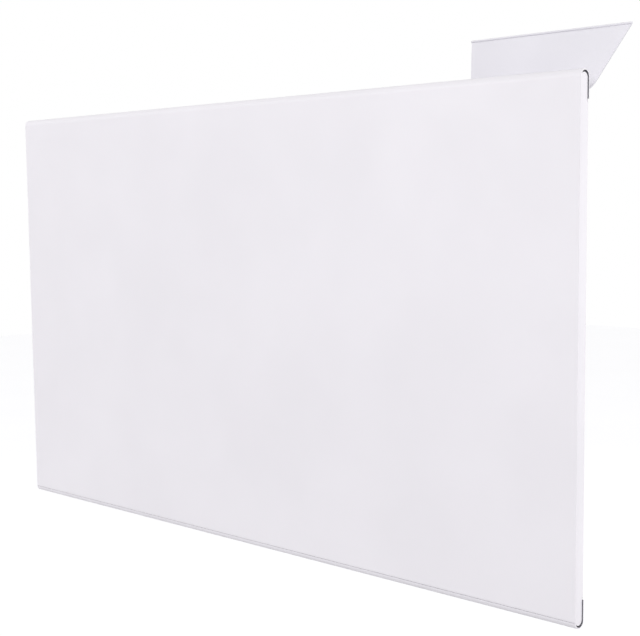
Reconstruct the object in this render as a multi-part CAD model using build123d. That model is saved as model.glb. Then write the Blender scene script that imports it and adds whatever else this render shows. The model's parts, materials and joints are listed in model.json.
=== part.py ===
from build123d import *
import math
import os

# A wall-hung panel convector heater: flat steel front, slotted casing, control deck under a hinged flap.
# Millimetres. The wall is the plane y = 0, the front faces -y, +x is the viewer's right and +z is up.
# x = 0 and z = 0 are the middle of the heater and of the wall bracket's screw pattern.

os.makedirs("parts", exist_ok=True)
nodes = {}

# Whole heater
panel_width = 706.0
panel_height = 400.0
panel_depth = 11.0
casing_depth = 46.0
wall_gap = 16.0
overrun = 2.0

top_z = panel_height / 2
casing_back_y = -wall_gap
panel_rear_y = casing_back_y - casing_depth
panel_front_y = panel_rear_y - panel_depth
panel_mid_y = panel_rear_y - panel_depth / 2


def block(x_limits, y_limits, z_limits):
    """A box between three pairs of limits."""
    sizes = [abs(b - a) for a, b in (x_limits, y_limits, z_limits)]
    middle = [(a + b) / 2 for a, b in (x_limits, y_limits, z_limits)]
    return Pos(*middle) * Box(*sizes)


def rod(start, end, radius):
    """A round bar from one point to another."""
    start = Vector(*start)
    along = Vector(*end) - start
    ends = (Align.CENTER, Align.CENTER, Align.MIN)
    return Plane(origin=start, z_dir=along) * Cylinder(radius, along.length, align=ends)


def prism_x(outline_yz, x_limits):
    """A prism along x with its outline given in y and z."""
    plane = Plane.YZ.offset(min(x_limits))
    length = abs(x_limits[1] - x_limits[0])
    return extrude(plane * Polygon(*outline_yz, align=None), amount=length, dir=plane.z_dir)


def prism_y(outline_xz, y_limits):
    """A prism along y with its outline given in x and z."""
    plane = Plane.XZ.offset(-max(y_limits))
    length = abs(y_limits[1] - y_limits[0])
    return extrude(plane * Polygon(*outline_xz, align=None), amount=length, dir=plane.z_dir)


def prism_z(outline_xy, z_limits):
    """A prism along z with its outline given in x and y."""
    plane = Plane.XY.offset(min(z_limits))
    length = abs(z_limits[1] - z_limits[0])
    return extrude(plane * Polygon(*outline_xy, align=None), amount=length, dir=plane.z_dir)


def around(middle, size):
    """The limits of a size centred on a place."""
    return (middle - size / 2, middle + size / 2)


def joined(pieces):
    """One solid made of pieces that meet."""
    whole = pieces[0]
    for piece in pieces[1:]:
        whole = whole + piece
    return whole


def group(pieces):
    """Separate solids that share a node."""
    return Compound(children=list(pieces))


# Rear casing: a shallow pan with slanted sides, and a box at the control end that reaches up to the deck
casing_sheet = 1.0
casing_end_gap = 1.5
end_inset = 34.5
deck_drop = 3.2
fascia_thickness = 0.8
grille_drop = 9.0
slope_drop = 34.5
deck_length = 145.0
deck_depth = 44.0
casing_bend = 1.6
bevel_reach = 1.4
bevel_drop = 4.2

end_x = panel_width / 2 - casing_end_gap
end_slope = end_inset / casing_depth
end_stretch = math.hypot(1, end_slope)
grille_slope = slope_drop / casing_depth
grille_stretch = math.hypot(1, grille_slope)
deck_z = top_z - deck_drop
box_top_z = deck_z - fascia_thickness
box_under_z = box_top_z - casing_sheet
box_far_x = end_x - deck_length
pan_top_z = deck_z - grille_drop
casing_inner_y = casing_back_y - casing_sheet


def behind(depth):
    """The y of a place this far behind the panel."""
    return panel_rear_y + depth


def below(drop):
    """The z of a place this far below the deck."""
    return deck_z - drop


def end_wall_x(depth, inside=0.0):
    """The x of the right end wall this far behind the panel, or of a surface inside it."""
    return end_x - end_slope * depth - inside * end_stretch


def pan_edge_z(depth, inside=0.0):
    """The z of the sloping top this far behind the panel, or of a surface inside it."""
    return pan_top_z - grille_slope * depth - inside * grille_stretch


def pan_solid(inside, front):
    """The pan, or the space inside its sheet, from a place in front to the back."""
    back = casing_depth - inside
    z_front, z_back = pan_edge_z(front, inside), pan_edge_z(back, inside)
    x_front, x_back = end_wall_x(front, inside), end_wall_x(back, inside)
    y_front, y_back = behind(front), behind(back)
    side = [(y_front, -z_front), (y_back, -z_back), (y_back, z_back), (y_front, z_front)]
    plan = [(-x_front, y_front), (x_front, y_front), (x_back, y_back), (-x_back, y_back)]
    return prism_x(side, (-end_x, end_x)) & prism_z(plan, (-top_z, top_z))


def between_slopes(inside):
    """All that lies between the sloping top and bottom, or between surfaces inside them."""
    front, back = -overrun, casing_depth + overrun
    z_front, z_back = pan_edge_z(front, inside), pan_edge_z(back, inside)
    y_front, y_back = behind(front), behind(back)
    side = [(y_front, -z_front), (y_back, -z_back), (y_back, z_back), (y_front, z_front)]
    return prism_x(side, (-end_x - overrun, end_x + overrun))


def box_solid(inside, front, low_z):
    """The raised box at the control end, or the space inside its sheet."""
    back = casing_depth - inside
    plan = [
        (box_far_x + inside, behind(front)),
        (end_wall_x(front, inside), behind(front)),
        (end_wall_x(back, inside), behind(back)),
        (box_far_x + inside, behind(back)),
    ]
    return prism_z(plan, (low_z, box_top_z - inside))


def end_bevel(inside):
    """What the slanted fold takes off the box's top edge over the end wall, or off the space inside it."""
    fold = math.hypot(bevel_reach, bevel_drop)
    upper = (-bevel_reach - inside * (fold - bevel_reach) / bevel_drop, inside)
    lower = (-inside, bevel_drop + inside * (fold - bevel_drop) / bevel_reach)
    outline = [(upper[0], -overrun), (overrun, -overrun), (overrun, lower[1]), lower, upper]
    plane = Plane(origin=(end_x, panel_rear_y, box_top_z), x_dir=(1, end_slope, 0), z_dir=(-end_slope, 1, 0))
    length = casing_depth * end_stretch + overrun
    return extrude(plane * Polygon(*outline, align=None), amount=length, both=True)


box_low_z = pan_edge_z(casing_depth) - slope_drop
casing_outer = pan_solid(0.0, 0.0) + box_solid(0.0, 0.0, box_low_z)
bends = [edge for edge in casing_outer.edges() if edge.center().Y > panel_rear_y + casing_bend]
inner_corner_x = box_far_x + casing_bend
bends = [edge for edge in bends if edge.center().Z < pan_top_z or edge.center().X > inner_corner_x]
casing_outer = fillet(bends, casing_bend) - end_bevel(0.0)
casing_inner = pan_solid(casing_sheet, -overrun)
casing_inner += box_solid(casing_sheet, -overrun, box_low_z) - end_bevel(casing_sheet)
casing = casing_outer - casing_inner

# Air slots: two rows in the sloping top and two in the bottom, run front to rear
slot_pitch = 10.0
slot_width = 5.2
slot_margin = 14.0
front_row = (2.6, 13.3)
rear_row = (17.1, 43.8)


def air_slots(x_low, x_high, rows, z_limits):
    """Slot cutters between two places along x."""
    count = int((x_high - x_low) // slot_pitch)
    first = (x_low + x_high) / 2 - slot_pitch * (count - 1) / 2
    cutters = []
    for row in rows:
        for index in range(count):
            x = first + index * slot_pitch
            cutter = block(around(x, slot_width), (behind(row[0]), behind(row[1])), z_limits)
            cutters.append(fillet(cutter.edges().filter_by(Axis.Z), slot_width * slot_round_share))
    return cutters


slot_round_share = 0.45
slot_reach_x = end_wall_x(casing_depth) - slot_margin
top_slots_z = (pan_edge_z(casing_depth, casing_sheet) - overrun, pan_top_z + overrun)
bottom_slots_z = (-top_slots_z[1], -top_slots_z[0])
rows = (front_row, rear_row)
slots = air_slots(-slot_reach_x, box_far_x - slot_margin, rows, top_slots_z)
slots += air_slots(-slot_reach_x, slot_reach_x, rows, bottom_slots_z)
casing = casing - slots

# Buttons: two columns of three round caps, with the display and six light windows between them
button_radius = 5.7
button_gap = 0.3
button_pitch = 13.35
button_first = 7.8
near_column = 36.5
far_column = 131.0
button_rise = 0.5
button_travel = 0.5
collar_radius = 6.3
collar_height = 0.8
collar_gap = 0.05
plunger_radius = 1.8
plunger_height = 0.35
button_columns = {
    near_column: ("button_timer", "button_minus", "button_plus"),
    far_column: ("button_lock", "button_mode", "button_power"),
}
button_places = {}
for column, names in button_columns.items():
    for row, name in enumerate(names):
        button_places[name] = (end_x - column, behind(button_first + row * button_pitch))
collar_top_z = box_under_z - collar_gap
plunger_low_z = collar_top_z - collar_height - plunger_height
for name, (x, y) in button_places.items():
    cap = rod((x, y, collar_top_z), (x, y, deck_z + button_rise), button_radius)
    cap = chamfer(cap.edges().group_by(Axis.Z)[-1], button_gap)
    collar = rod((x, y, collar_top_z - collar_height), (x, y, collar_top_z), collar_radius)
    plunger = rod((x, y, plunger_low_z), (x, y, collar_top_z), plunger_radius)
    nodes[name] = joined([cap, collar, plunger])

# Display window and light windows
window_near = 71.5
window_length = 22.0
window_front = 7.9
window_depth = 16.7
window_recess = 0.4
lens_gap = 0.05
lens_rim = 1.2
lens_rim_height = 0.6
light_first = 58.2
light_pitch = 10.2
light_count = 6
light_depth = 32.4
light_length = 2.4
light_width = 1.8
light_gap = 0.05

window_x = (end_x - window_near - window_length, end_x - window_near)
window_y = (behind(window_front), behind(window_front + window_depth))
light_places = [
    (end_x - light_first - index * light_pitch, behind(light_depth)) for index in range(light_count)
]

# Fascia: a thin plate that lies on top of the box
fascia_end_strip = 1.9
fascia_far_gap = 0.4
fascia_round = 0.5
fascia_plan = [
    (box_far_x + fascia_far_gap, behind(0.0)),
    (end_wall_x(0.0, fascia_end_strip), behind(0.0)),
    (end_wall_x(deck_depth, fascia_end_strip), behind(deck_depth)),
    (box_far_x + fascia_far_gap, behind(deck_depth)),
]
fascia = prism_z(fascia_plan, (box_top_z, deck_z))
rear_top = fascia.edges().filter_by(Axis.X).group_by(Axis.Z)[-1].sort_by(Axis.Y)[-1]
fascia = fillet(rear_top, fascia_round)
deck_holes = []
deck_hole_z = (box_under_z - overrun, deck_z + overrun)
for x, y in button_places.values():
    deck_holes.append(rod((x, y, deck_hole_z[0]), (x, y, deck_hole_z[1]), button_radius + button_gap))
deck_holes.append(block(window_x, window_y, deck_hole_z))
for x, y in light_places:
    hole_x, hole_y = around(x, light_length + light_gap), around(y, light_width + light_gap)
    deck_holes.append(block(hole_x, hole_y, deck_hole_z))
casing = casing - deck_holes
nodes["control_fascia"] = fascia - deck_holes

lens_x = (window_x[0] + lens_gap, window_x[1] - lens_gap)
lens_y = (window_y[0] + lens_gap, window_y[1] - lens_gap)
lens_top_z = deck_z - window_recess
rim_x = (window_x[0] - lens_rim, window_x[1] + lens_rim)
rim_y = (window_y[0] - lens_rim, window_y[1] + lens_rim)
rim_low_z = box_under_z - lens_rim_height
nodes["display_lens"] = joined([
    block(lens_x, lens_y, (rim_low_z, lens_top_z)),
    block(rim_x, rim_y, (rim_low_z, box_under_z)),
])

# Control board under the deck, with what stands on it
board_drop = 7.0
board_thickness = 1.6
board_end_gap = 5.0
board_front = 3.0
board_rear = 37.8
board_far_gap = 4.0
display_margin = 2.0
switch_size = 6.0
switch_body_height = 2.6
switch_stem_radius = 1.7
switch_stem_gap = 0.1
led_size = 1.2
led_gap = 0.1
post_radius = 2.2
post_inset = 4.5
post_shift = 2.0
post_bore = 1.2

board_top_z = below(board_drop)
board_low_z = board_top_z - board_thickness
board_plan = [
    (box_far_x + board_far_gap, behind(board_front)),
    (end_wall_x(board_front, board_end_gap), behind(board_front)),
    (end_wall_x(board_rear, board_end_gap), behind(board_rear)),
    (box_far_x + board_far_gap, behind(board_rear)),
]
near_post_x = end_x - (near_column + window_near) / 2
far_post_x = end_x - (far_column + window_near + window_length) / 2 - post_shift
post_rows = (behind(board_front + post_inset), behind(board_rear - post_inset))
post_places = [(x, y) for x in (near_post_x, far_post_x) for y in post_rows]
board = prism_z(board_plan, (board_low_z, board_top_z))
posts = []
board_screws = []
screw_head_height = 1.6
for x, y in post_places:
    board = board - rod((x, y, board_low_z), (x, y, board_top_z), post_bore)
    post = rod((x, y, board_top_z), (x, y, box_under_z), post_radius)
    screw = joined([
        rod((x, y, board_low_z - screw_head_height), (x, y, board_low_z), post_radius),
        rod((x, y, board_low_z), (x, y, (board_top_z + box_under_z) / 2), post_bore),
    ])
    posts.append(post - screw)
    board_screws.append(screw)
nodes["control_board"] = board
nodes["board_posts"] = group(posts)
module_x = (window_x[0] + display_margin, window_x[1] - display_margin)
module_y = (window_y[0] + display_margin, window_y[1] - display_margin)
nodes["display_module"] = block(module_x, module_y, (board_top_z, rim_low_z))
tact_switches = []
for x, y in button_places.values():
    body_z = (board_top_z, board_top_z + switch_body_height)
    body = block(around(x, switch_size), around(y, switch_size), body_z)
    stem_top_z = plunger_low_z - button_travel - switch_stem_gap
    tact_switches.append(body + rod((x, y, board_top_z), (x, y, stem_top_z), switch_stem_radius))
nodes["tact_switches"] = group(tact_switches)
led_top_z = board_top_z + led_size
pipe_z = (led_top_z + led_gap, deck_z)
nodes["indicator_leds"] = group(
    block(around(x, led_size), around(y, led_size), (board_top_z, led_top_z)) for x, y in light_places
)
nodes["led_light_pipes"] = group(
    block(around(x, light_length), around(y, light_width), pipe_z) for x, y in light_places
)

# Flap: a bent lid over the deck, drawn shut and then turned open about its pins
lid_sheet = 1.0
lid_gap = 1.2
lid_bend = 8.0
lid_leg = 6.5
lid_front_gap = 0.4
lid_overhang = 2.8
lid_end_margin = 1.0
lid_far_margin = 3.0
lid_hem_radius = 0.9
lid_open_angle = 92.0
pin_radius = 1.5
pin_gap = 0.05
pin_offset = 1.8
pin_drop = 5.3
knuckle_radius = 2.8
ear_width = 3.0
hinge_side_gap = 0.3
bracket_sheet = 1.6
notch_gap = 0.5
notch_rise = 3.4
hinge_places = (52.0, 136.0)
leg_far_gap = 0.6

lid_outer_y = behind(casing_depth + lid_overhang)
lid_inner_y = lid_outer_y - lid_sheet
lid_low_z = deck_z + lid_gap
lid_top_z = lid_low_z + lid_sheet
bend_y, bend_z = lid_outer_y - lid_bend, lid_top_z - lid_bend
pin_y, pin_z = lid_inner_y - pin_offset, below(pin_drop)
leg_low_z = bend_z - lid_leg
lid_x = (box_far_x - lid_far_margin, end_x)
lid_free_y = behind(lid_front_gap)

bend_ring = rod((lid_x[0], bend_y, bend_z), (lid_x[1], bend_y, bend_z), lid_bend)
bend_ring -= rod((lid_x[0], bend_y, bend_z), (lid_x[1], bend_y, bend_z), lid_bend - lid_sheet)
lid = joined([
    block(lid_x, (lid_free_y + lid_hem_radius, bend_y), (lid_low_z, lid_top_z)),
    bend_ring & block(lid_x, (bend_y, lid_outer_y), (bend_z, lid_top_z)),
    block((box_far_x + casing_sheet + leg_far_gap, end_x), (lid_inner_y, lid_outer_y), (leg_low_z, bend_z)),
])
hem_y, hem_z = lid_free_y + lid_hem_radius, lid_top_z - lid_hem_radius
lid += rod((lid_x[0], hem_y, hem_z), (lid_x[1], hem_y, hem_z), lid_hem_radius)
lid_plan = [
    (lid_x[0], behind(0.0)),
    (end_wall_x(0.0, -lid_end_margin), behind(0.0)),
    (end_wall_x(casing_depth + lid_overhang, -lid_end_margin), lid_outer_y),
    (lid_x[0], lid_outer_y),
]
lid = lid & prism_z(lid_plan, (leg_low_z, lid_top_z))
hinge_brackets, hinge_pins = [], []
tray_drop = 14.5
tray_sheet = 1.0
tray_front = 37.2
tray_rise = 5.5
tray_lip = 9.0
stop_width = 5.0
stop_reach = (38.9, 41.6)
stop_gap = 0.08
stop_height = 1.2
foot_reach = (39.4, 44.4)
foot_width = 8.0
pin_head_radius = 2.4
pin_head_height = 0.8
tray_top_z = below(tray_drop)
open_angle = math.radians(lid_open_angle)


def opened(y, z):
    """Where a point of the shut lid is once the lid stands open."""
    dy, dz = y - pin_y, z - pin_z
    turned_y = dy * math.cos(open_angle) + dz * math.sin(open_angle)
    turned_z = dz * math.cos(open_angle) - dy * math.sin(open_angle)
    return pin_y + turned_y, pin_z + turned_z


leg_tip = opened(lid_inner_y, leg_low_z)
leg_root = opened(lid_inner_y, bend_z)
leg_rise = (leg_tip[1] - leg_root[1]) / (leg_tip[0] - leg_root[0])


def stop_line_z(y):
    """The height of the stop's underside over the open lid's leg."""
    return leg_root[1] + (y - leg_root[0]) * leg_rise + stop_gap


for place in hinge_places:
    x = end_x - place
    bracket_x = (x, x + bracket_sheet)
    ear_x = (x + bracket_sheet + hinge_side_gap, x + bracket_sheet + hinge_side_gap + ear_width)
    notch_x = (x - pin_head_height - notch_gap, x + bracket_sheet + notch_gap / 2)
    notch_y = (bend_y + lid_bend / 2, lid_outer_y + overrun)
    lid = lid - block(notch_x, notch_y, (leg_low_z - overrun, pin_z + notch_rise))
    ear = rod((ear_x[0], pin_y, pin_z), (ear_x[1], pin_y, pin_z), knuckle_radius)
    ear = ear & block(ear_x, (pin_y - knuckle_radius, lid_outer_y), around(pin_z, knuckle_radius * 2))
    lid = lid + ear
    lid = lid - rod((ear_x[0], pin_y, pin_z), (ear_x[1], pin_y, pin_z), pin_radius + pin_gap)
    pin = joined([
        rod((x - pin_head_height, pin_y, pin_z), (ear_x[1] + notch_gap, pin_y, pin_z), pin_radius),
        rod((x - pin_head_height, pin_y, pin_z), (x, pin_y, pin_z), pin_head_radius),
    ])
    hinge_pins.append(pin)
    foot_y = (behind(foot_reach[0]), behind(foot_reach[1]))
    arm = [
        (foot_y[0], tray_top_z),
        (foot_y[1], tray_top_z),
        (pin_y + knuckle_radius, pin_z),
        (pin_y, pin_z + knuckle_radius),
        (pin_y - knuckle_radius, pin_z),
        (behind(stop_reach[0]), stop_line_z(behind(stop_reach[0])) + stop_height),
        (behind(stop_reach[0]), stop_line_z(behind(stop_reach[0]))),
    ]
    stop_y = (behind(stop_reach[0]), behind(stop_reach[1]))
    stop = [
        (stop_y[0], stop_line_z(stop_y[0])),
        (stop_y[1], stop_line_z(stop_y[1])),
        (stop_y[1], stop_line_z(stop_y[1]) + stop_height),
        (stop_y[0], stop_line_z(stop_y[0]) + stop_height),
    ]
    bracket = joined([
        prism_x(arm, bracket_x),
        rod((bracket_x[0], pin_y, pin_z), (bracket_x[1], pin_y, pin_z), knuckle_radius),
        prism_x(stop, (x - stop_width, bracket_x[1])),
        block((x, x + foot_width), foot_y, (tray_top_z, tray_top_z + tray_sheet)),
    ])
    bracket = bracket - rod((bracket_x[0], pin_y, pin_z), (bracket_x[1], pin_y, pin_z), pin_radius)
    hinge_brackets.append(bracket)
nodes["flap_lid"] = lid.rotate(Axis((0, pin_y, pin_z), (1, 0, 0)), -lid_open_angle)
nodes["hinge_bracket_near"] = hinge_brackets[0]
nodes["hinge_bracket_far"] = hinge_brackets[1]
nodes["hinge_pins"] = group(hinge_pins)

# The casing's rear top corner is cut away where the lid's foot turns
pocket_drop = 13.5
pocket_front = 41.5
pocket_y = (behind(deck_depth), casing_back_y + overrun)
casing -= block((box_far_x - overrun, end_x), pocket_y, (below(pocket_drop), deck_z + overrun))
side_cut_y = (behind(pocket_front), pocket_y[1])
casing -= block((box_far_x + casing_sheet, end_x), side_cut_y, (below(pocket_drop), box_under_z))

# Hinge tray: closes the space under the lid's foot and carries the hinge brackets
tray_end_gap = 0.6
tray_x = (box_far_x + casing_sheet + tray_end_gap, end_wall_x(casing_depth, casing_sheet) - tray_end_gap)
tray_y = (behind(tray_front), casing_inner_y)
tray_low_z = tray_top_z - tray_sheet
tray = joined([
    block(tray_x, tray_y, (tray_low_z, tray_top_z)),
    block(tray_x, (tray_y[0], tray_y[0] + tray_sheet), (tray_low_z, tray_top_z + tray_rise)),
    block(tray_x, (tray_y[1] - tray_sheet, tray_y[1]), (tray_low_z - tray_lip, tray_top_z)),
])
rivet_radius = 1.6
rivet_head_radius = 3.0
rivet_head = 0.9


def rivet(x, y_limits, z):
    """A rivet along y with a head on both ends."""
    return joined([
        rod((x, y_limits[0] - rivet_head, z), (x, y_limits[1] + rivet_head, z), rivet_radius),
        rod((x, y_limits[0] - rivet_head, z), (x, y_limits[0], z), rivet_head_radius),
        rod((x, y_limits[1], z), (x, y_limits[1] + rivet_head, z), rivet_head_radius),
    ])


tray_rivet_z = tray_low_z - tray_lip / 2
tray_rivet_shares = (0.12, 0.5, 0.88)
tray_rivets = []
for share in tray_rivet_shares:
    x = tray_x[0] + (tray_x[1] - tray_x[0]) * share
    tray_rivets.append(rivet(x, (tray_y[1] - tray_sheet, casing_back_y), tray_rivet_z))
tray = tray - tray_rivets
casing = casing - tray_rivets
nodes["hinge_tray"] = tray
nodes["tray_rivets"] = group(tray_rivets)

# Switch niche: a pocket behind an opening in the slanted right end, with the rocker in its flat back
niche_drop = (35.0, 80.0)
niche_reach = (11.0, 34.0)
niche_wall = 1.0
rocker_swing = 9.0
bezel_width = 14.5
bezel_height = 31.6
bezel_thickness = 1.8
body_width = 12.4
body_height = 28.4
body_depth = 14.0
cutout_gap = 0.15
well_side_gap = 0.3
well_height = 26.9
well_depth = 8.8
paddle_width = 9.9
paddle_half = 12.2
pivot_depth = 3.7
paddle_front = 6.0
paddle_valley = 4.2
paddle_shoulder = 2.2
paddle_belly = 2.6
paddle_flare = 0.4
trunnion_radius = 1.4
trunnion_gap = 0.05
trunnion_reach = 0.9
terminal_reach = 8.0
terminal_width = 4.8
terminal_thickness = 0.8
terminal_pitch = 7.5

niche_x = end_wall_x(niche_reach[1], casing_sheet)
niche_y = (behind(niche_reach[0]), behind(niche_reach[1]))
niche_z = (below(niche_drop[1]), below(niche_drop[0]))
casing = casing - block((niche_x - casing_sheet, end_x), niche_y, niche_z)
shell = block(
    (niche_x - niche_wall, end_x),
    (niche_y[0] - niche_wall, niche_y[1] + niche_wall),
    (niche_z[0] - niche_wall, niche_z[1] + niche_wall),
)
space = block((niche_x, end_x + overrun), niche_y, niche_z)
inner_plan = [
    (niche_x - niche_wall, behind(0.0)),
    (end_wall_x(0.0, casing_sheet), behind(0.0)),
    (end_wall_x(casing_depth, casing_sheet), casing_back_y),
    (niche_x - niche_wall, casing_back_y),
]
switch_y = sum(niche_y) / 2
switch_z = sum(niche_z) / 2
bezel_x = (niche_x, niche_x + bezel_thickness)
body_x = (niche_x - body_depth, niche_x)
cutout = block(
    (niche_x - niche_wall - overrun, niche_x + overrun),
    around(switch_y, body_width + cutout_gap * 2),
    around(switch_z, body_height + cutout_gap * 2),
)
pocket = (shell - space - cutout) & prism_z(inner_plan, (niche_z[0] - niche_wall, niche_z[1] + niche_wall))
nodes["switch_pocket"] = pocket
pivot_x = bezel_x[1] - pivot_depth
well_width = paddle_width + well_side_gap * 2
housing = block(body_x, around(switch_y, body_width), around(switch_z, body_height))
bezel = block(bezel_x, around(switch_y, bezel_width), around(switch_z, bezel_height))
bezel_round = 1.2
bezel = fillet(bezel.edges().filter_by(Axis.X), bezel_round)
well_x = (bezel_x[1] - well_depth, bezel_x[1])
well = block(well_x, around(switch_y, well_width), around(switch_z, well_height))
housing = housing + bezel - well
trunnion_y = around(switch_y, well_width + trunnion_reach * 2)
bore_ends = [(pivot_x, y, switch_z) for y in trunnion_y]
housing -= rod(*bore_ends, trunnion_radius + trunnion_gap)
nodes["rocker_housing"] = housing
shoulder_half = paddle_half + paddle_flare
belly_half = paddle_half / 2
paddle_outline = [
    (pivot_x + paddle_front, switch_z + paddle_half),
    (pivot_x + paddle_valley, switch_z),
    (pivot_x + paddle_front, switch_z - paddle_half),
    (pivot_x + paddle_shoulder, switch_z - shoulder_half),
    (pivot_x - paddle_belly / 2, switch_z - belly_half),
    (pivot_x - paddle_belly, switch_z),
    (pivot_x - paddle_belly / 2, switch_z + belly_half),
    (pivot_x + paddle_shoulder, switch_z + shoulder_half),
]
paddle = prism_y(paddle_outline, around(switch_y, paddle_width))
trunnion_y = around(switch_y, well_width + trunnion_reach)
paddle += rod((pivot_x, trunnion_y[0], switch_z), (pivot_x, trunnion_y[1], switch_z), trunnion_radius)
nodes["rocker_paddle"] = paddle.rotate(Axis((pivot_x, 0, switch_z), (0, -1, 0)), rocker_swing)
nodes["rocker_terminals"] = group(
    block(
        (body_x[0] - terminal_reach, body_x[0]),
        around(switch_y, terminal_width),
        around(switch_z + row * terminal_pitch, terminal_thickness),
    )
    for row in (-1, 0, 1)
)

# Front panel: flat sheet, rolled right round at top and bottom, with end flanges and a return lip
panel_sheet = 1.0
panel_edge = 0.6
roll_leg = 20.5
fold_width = 0.8
fold_depth = 0.5
flange_sheet = 1.0
flange_recess = 0.8
flange_gap = 0.45
flange_bend = 0.8
flange_web = 0.5
tongue_gap = 1.3
lip_gap = 2.4
lip_width = 12.0
tab_reach = 8.5
tab_height = 18.0
tab_sheet = 1.5

panel_x = (-panel_width / 2, panel_width / 2)
half_round = panel_depth / 2


def rolled_section(inside):
    """The panel's rounded outline, or one inside it, as a sketch across x."""
    outline = SlotOverall(panel_height - inside * 2, panel_depth - inside * 2, rotation=90)
    return Plane.YZ * Pos(panel_mid_y, 0.0) * outline


panel = extrude(rolled_section(0.0), amount=panel_width / 2, both=True)
end_edges = panel.edges().group_by(Axis.X)
panel = fillet(end_edges[0] + end_edges[-1], panel_edge)
panel = panel - extrude(rolled_section(panel_sheet), amount=panel_width / 2, both=True)
straight_z = top_z - half_round
fold_y = (panel_front_y - overrun, panel_front_y + fold_depth)
panel = panel - block(panel_x, fold_y, around(-straight_z, fold_width))
leg_end_z = top_z - roll_leg
rear_sheet_y = (panel_rear_y - panel_sheet - flange_gap, panel_rear_y + overrun)
panel = panel - block(panel_x, rear_sheet_y, (-leg_end_z, leg_end_z))
lip_z = leg_end_z - lip_gap
screw_shares = (0.765, 0.0, -0.765)
screw_depth = 2.9
screw_hole_radius = 2.6
screw_head_radius = 2.1
screw_head_rise = 0.7
screw_head_round = 0.3
screw_radius = 1.5
screw_length = 7.0
screw_gap = 0.05
cross_length = 2.6
cross_width = 0.6
cross_depth = 0.4
casing_screws = []
screw_holes = []
wall_holes = []


def round_from(start, along, length, radius):
    """A round bar of this length from a place along a unit direction."""
    return rod(start, start + along * length, radius)


def casing_screw(seat, inward):
    """A screw with a low round head and a cross recess, its head on the seat."""
    outward = inward * -1
    head = round_from(seat, outward, screw_head_rise, screw_head_radius)
    top = Plane(origin=seat + outward * screw_head_rise, z_dir=outward)
    head = fillet(head.faces().sort_by(Axis(seat, outward))[-1].edges(), screw_head_round)
    for sizes in ((cross_length, cross_width), (cross_width, cross_length)):
        head = head - top * Box(*sizes, cross_depth * 2)
    return head + round_from(seat, inward, screw_length, screw_radius)


flange_end_x = panel_width / 2 - flange_recess
tongue_height = panel_height - (panel_sheet + tongue_gap) * 2
tongue_depth = panel_depth - (panel_sheet + flange_gap) * 2
tongue_outline = SlotOverall(tongue_height, tongue_depth, rotation=90)
for side in (-1, 1):
    flange_x = (side * (flange_end_x - flange_sheet), side * flange_end_x)
    tongue = Plane.YZ.offset(min(flange_x)) * Pos(panel_mid_y, 0.0) * tongue_outline
    panel += extrude(tongue, amount=flange_sheet)
    web_x = (flange_x[0], flange_x[0] + side * flange_web)
    panel += block(web_x, (panel_front_y + panel_sheet / 2, panel_mid_y), (-straight_z, straight_z))
    skirt = block(flange_x, (panel_mid_y, panel_rear_y), (-lip_z, lip_z))
    rear_corners = skirt.edges().filter_by(Axis.Z).group_by(Axis.Y)[-1].sort_by(Axis.X)
    panel += fillet(rear_corners[-1 if side > 0 else 0], flange_bend)
    lip_x = (side * (flange_end_x - lip_width), flange_x[0])
    panel += block(lip_x, (panel_rear_y - flange_sheet, panel_rear_y), (-lip_z, lip_z))
    for share in screw_shares:
        z = share * top_z
        tab = [
            (side * end_wall_x(-flange_sheet, casing_sheet), behind(-flange_sheet)),
            (side * end_wall_x(tab_reach, casing_sheet), behind(tab_reach)),
            (side * end_wall_x(tab_reach, casing_sheet + tab_sheet), behind(tab_reach)),
            (side * end_wall_x(-flange_sheet, casing_sheet + tab_sheet), behind(-flange_sheet)),
        ]
        panel += prism_z(tab, around(z, tab_height))
        inward = Vector(-side, -end_slope, 0) / end_stretch
        surface = Vector(side * end_wall_x(screw_depth), behind(screw_depth), z)
        seat = surface + inward * casing_sheet
        casing_screws.append(casing_screw(seat, inward))
        screw_holes.append(round_from(seat, inward, screw_length, screw_radius + screw_gap))
        outside = surface - inward * overrun
        wall_holes.append(round_from(outside, inward, casing_sheet + overrun, screw_hole_radius))
panel = panel - screw_holes
casing = casing - wall_holes
nodes["front_panel"] = panel
nodes["casing_screws"] = group(casing_screws)

# Relief: a shallow round notch in the box's front edge, beside the panel's roll
relief_drop = 10.5
relief_height = 6.8
relief_depth = 2.0
relief_radius = (relief_height**2 / 4 + relief_depth**2) / (relief_depth * 2)
relief_y = behind(relief_depth - relief_radius)
relief_x = (end_wall_x(relief_depth, casing_sheet) - overrun, end_x + overrun)
relief_ends = [(x, relief_y, below(relief_drop)) for x in relief_x]
casing -= rod(*relief_ends, relief_radius)

# Foot screws: hold the feet of the inner sheets to the casing's back
foot_screw_radius = 1.8
foot_screw_head = 3.4
foot_screw_length = 3.0
back_y = casing_inner_y
foot_screws = []


def foot_screw(x, z, plate):
    """A screw that holds a foot of this thickness to the casing's back."""
    return joined([
        rod((x, back_y - plate - foot_screw_length / 2, z), (x, back_y - plate, z), foot_screw_head),
        rod((x, back_y - plate, z), (x, casing_back_y + foot_screw_length / 2, z), foot_screw_radius),
    ])


# Baffle: a wall between the warm space and the control end, with a notch for the element's leads
baffle_inset = 12.0
baffle_sheet = 0.8
baffle_gap = 0.3
baffle_foot = 12.0
baffle_front = 2.0
baffle_notch = 16.0
baffle_notch_rise = 130.0
baffle_screw_shares = (-0.75, 0.0, 0.75)
baffle_screw_share = 2 / 3

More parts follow.
